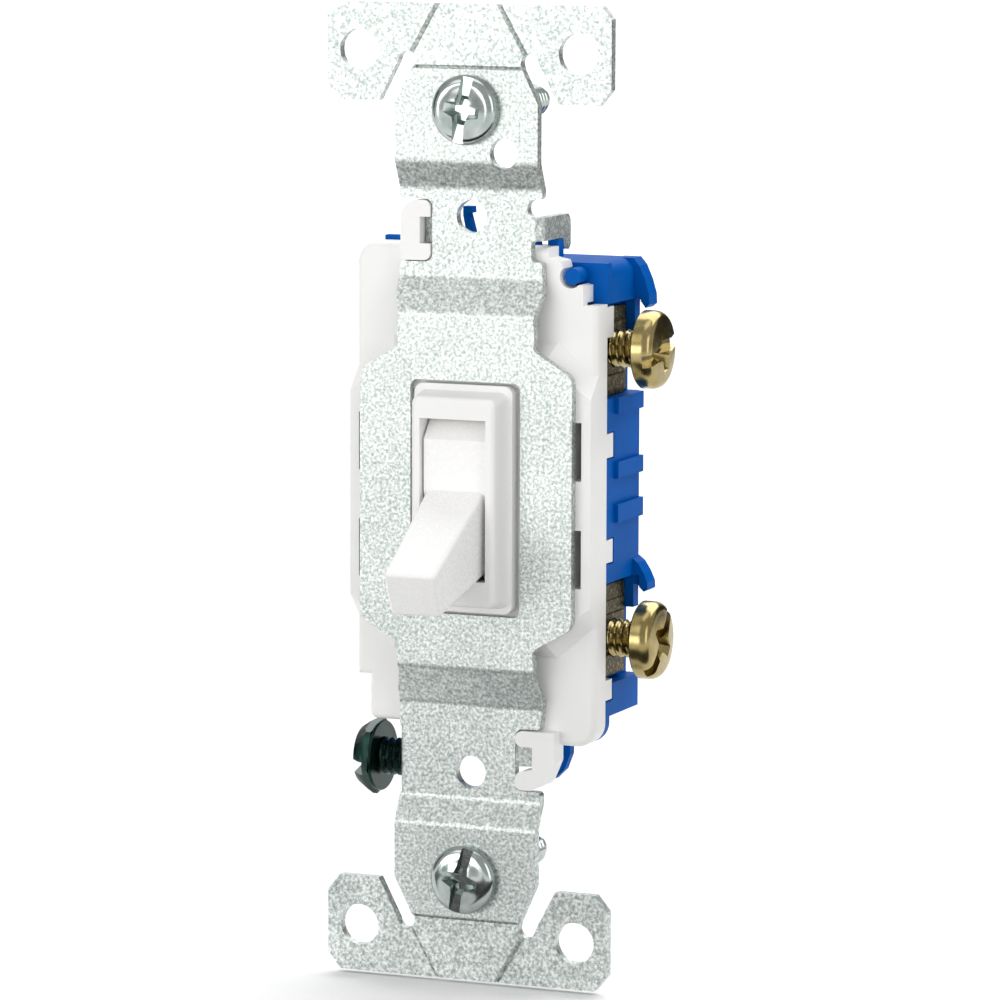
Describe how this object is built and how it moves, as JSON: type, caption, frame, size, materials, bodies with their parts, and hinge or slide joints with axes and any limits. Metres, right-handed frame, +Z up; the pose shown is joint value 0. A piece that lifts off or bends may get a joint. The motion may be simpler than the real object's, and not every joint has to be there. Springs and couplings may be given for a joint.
{
  "type": "toggle wall switch",
  "caption": "Toggle wall switch on a steel mounting strap with break-off ears, white front, blue rear box, brass side terminals and a green ground screw.",
  "frame": {"origin": "midway between the four ear holes and between the two box screws, on the plane of the back face of the strap's ears, which meets the wall", "axes": "+Y from the room into the wall, +Z up, +X to the right seen from the room; the lever is stored down, in the off position"},
  "size_m": [0.0356, 0.0355, 0.1058],
  "materials": {
    "strap_steel": "galvanised, fine grain",
    "white_plastic": "satin",
    "lever_plastic": "semi-gloss",
    "blue_plastic": "satin",
    "spring_steel": "drawn wire",
    "pad_rubber": "matte",
    "contact_brass": "rolled",
    "contact_silver": "satin",
    "terminal_brass": "dull, speckled",
    "screw_brass": "bright",
    "screw_zinc": "bright zinc",
    "retainer_fibre": "pressed fibre",
    "screw_green": "dark green, metallic"
  },
  "bodies": {
    "frame": {"mounting_strap": "strap_steel", "front_housing": "white_plastic", "rear_housing": "blue_plastic", "upper_stop_pad": "pad_rubber", "lower_stop_pad": "pad_rubber", "fixed_contact": "contact_silver", "upper_terminal_plate": "terminal_brass", "lower_terminal_plate": "terminal_brass", "upper_wire_clip": "contact_brass", "lower_wire_clip": "contact_brass", "upper_screw_retainer": "retainer_fibre", "lower_screw_retainer": "retainer_fibre", "toggle_spring": "spring_steel", "contact_spring": "spring_steel"},
    "toggle": {"toggle_lever": "lever_plastic"},
    "arm": {"contact_arm": "contact_brass", "moving_contact": "contact_silver"},
    "upper_terminal_screw": {"upper_terminal_screw": "screw_brass"},
    "lower_terminal_screw": {"lower_terminal_screw": "screw_brass"},
    "upper_mounting_screw": {"upper_mounting_screw": "screw_zinc"},
    "lower_mounting_screw": {"lower_mounting_screw": "screw_zinc"},
    "ground_screw": {"ground_screw": "screw_green"}
  },
  "joints": [
    {"name": "toggle_hinge", "type": "hinge", "parent": "frame", "child": "toggle", "pos_m": [0, 0.00428, 0], "axis": [-1, 0, 0], "range_deg": [0, 47], "deforming": ["toggle_spring"]},
    {"name": "arm_hinge", "type": "hinge", "parent": "frame", "child": "arm", "pos_m": [0, 0.0108, -0.0105], "axis": [1, 0, 0], "range_deg": [0, 4.6], "deforming": ["contact_spring"]},
    {"name": "upper_terminal_slide", "type": "slide", "parent": "frame", "child": "upper_terminal_screw", "axis": [1, 0, 0], "range_m": [-0.0022, 0.001]},
    {"name": "lower_terminal_slide", "type": "slide", "parent": "frame", "child": "lower_terminal_screw", "axis": [1, 0, 0], "range_m": [-0.0022, 0.001]},
    {"name": "upper_mounting_slide", "type": "slide", "parent": "frame", "child": "upper_mounting_screw", "axis": [0, -1, 0], "range_m": [0, 0.006]},
    {"name": "lower_mounting_slide", "type": "slide", "parent": "frame", "child": "lower_mounting_screw", "axis": [0, -1, 0], "range_m": [0, 0.006]},
    {"name": "ground_slide", "type": "slide", "parent": "frame", "child": "ground_screw", "axis": [1, 0, 0], "range_m": [-0.001, 0.0033]}
  ],
  "couplings": [
    {"joint": "arm_hinge", "follows": "toggle_hinge", "ratio": 0.0974}
  ]
}
